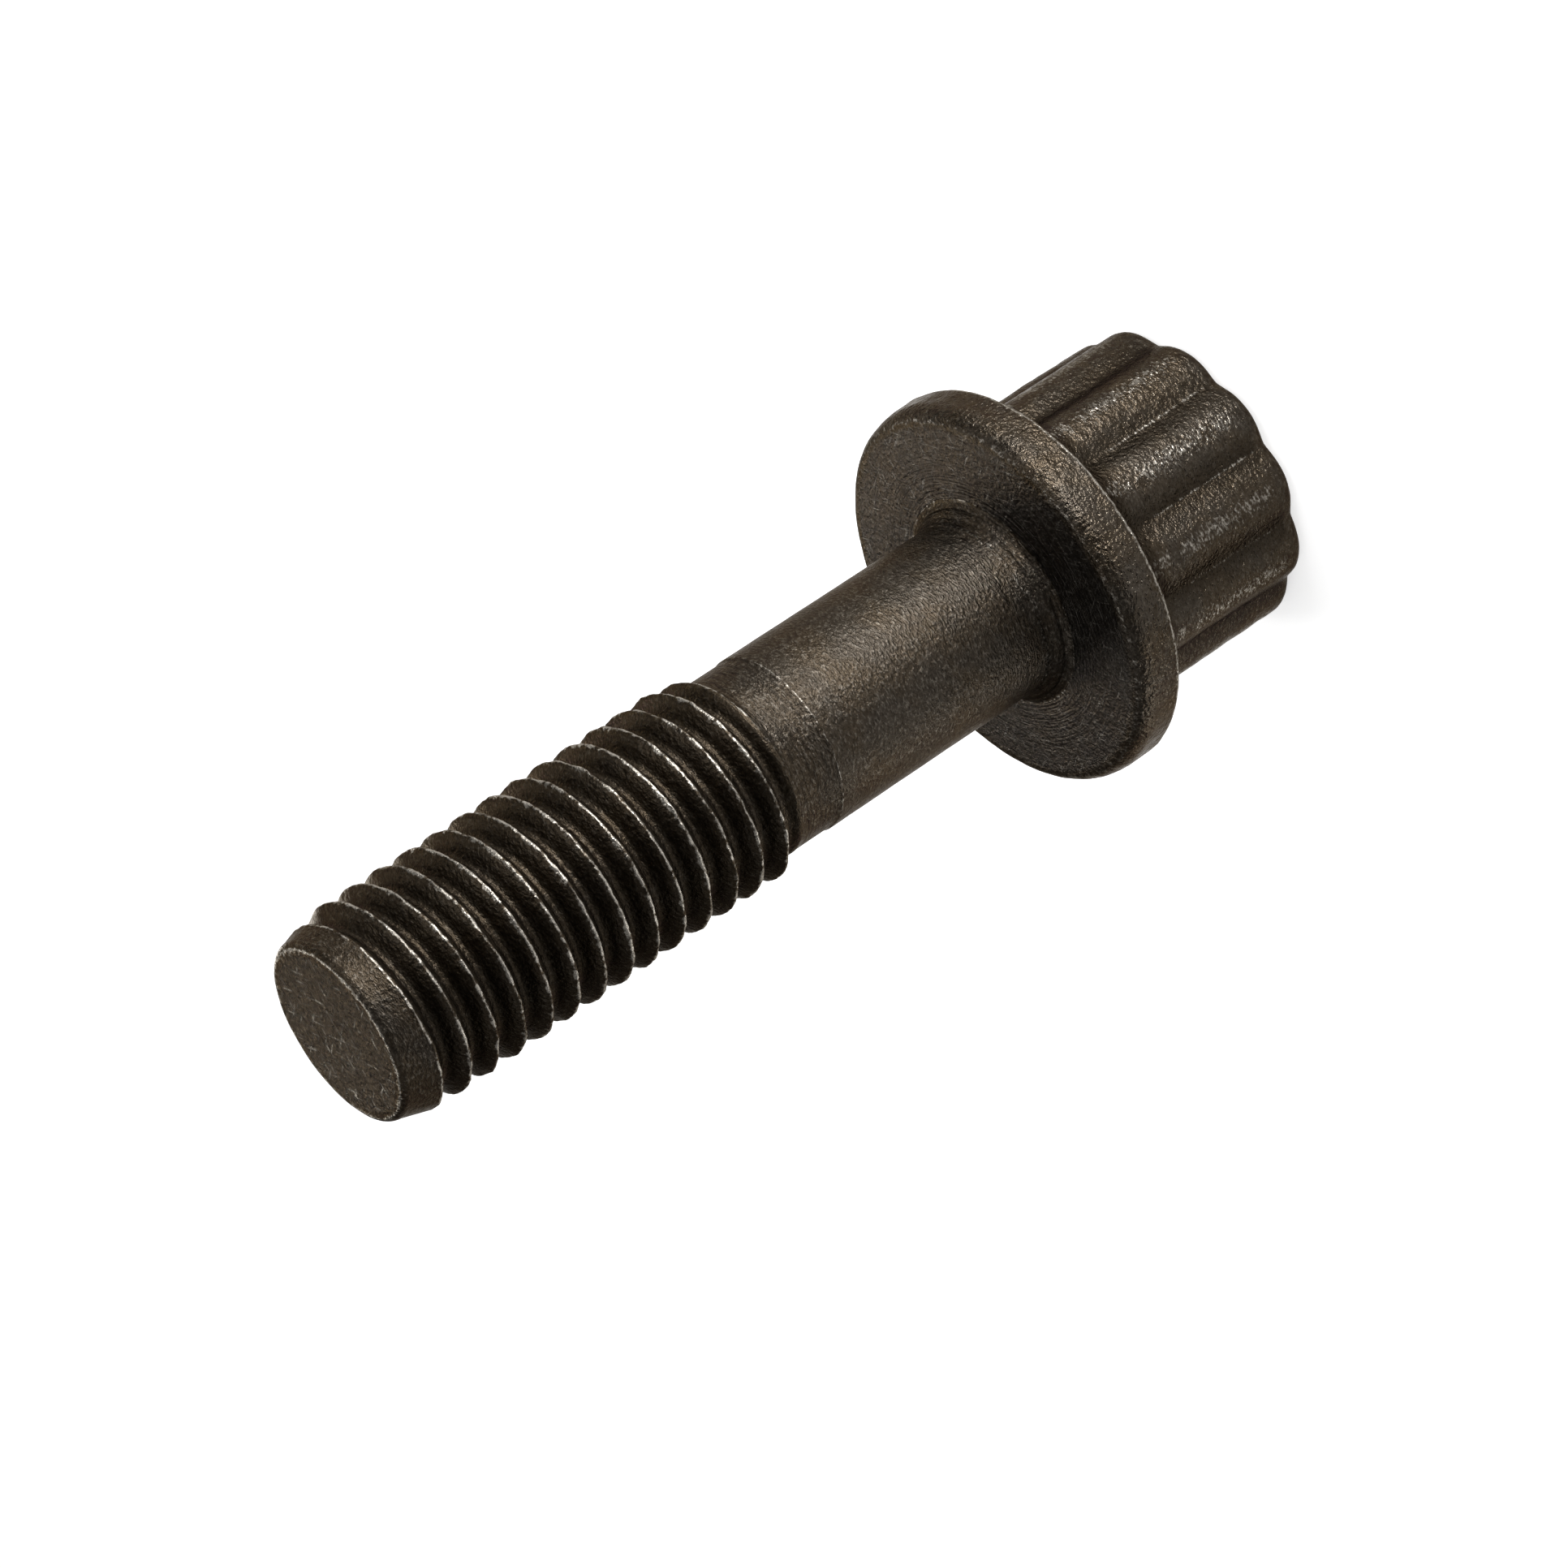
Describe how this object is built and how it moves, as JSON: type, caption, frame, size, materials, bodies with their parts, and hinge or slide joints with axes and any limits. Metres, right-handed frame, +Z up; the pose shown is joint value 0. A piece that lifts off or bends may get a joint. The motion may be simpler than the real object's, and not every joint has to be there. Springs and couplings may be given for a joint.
{
  "type": "twelve-point flange bolt",
  "caption": "Dark steel flange bolt with a twelve-point head, a reduced shank and a rolled right-hand metric thread with a bevelled tip, for clamping parts together.",
  "frame": {"origin": "centre of the head's flat end, on which the bolt stands", "axes": "+Z up the bolt's axis, from the head's end to the thread's tip; +X through one of the head's points"},
  "size_m": [0.0192, 0.0192, 0.0508],
  "materials": {
    "dark_steel": "brown-black oxide, worn bright along the thread's crests and the flange's rim"
  },
  "bodies": {
    "root": {"bolt": "dark_steel"}
  },
  "joints": []
}
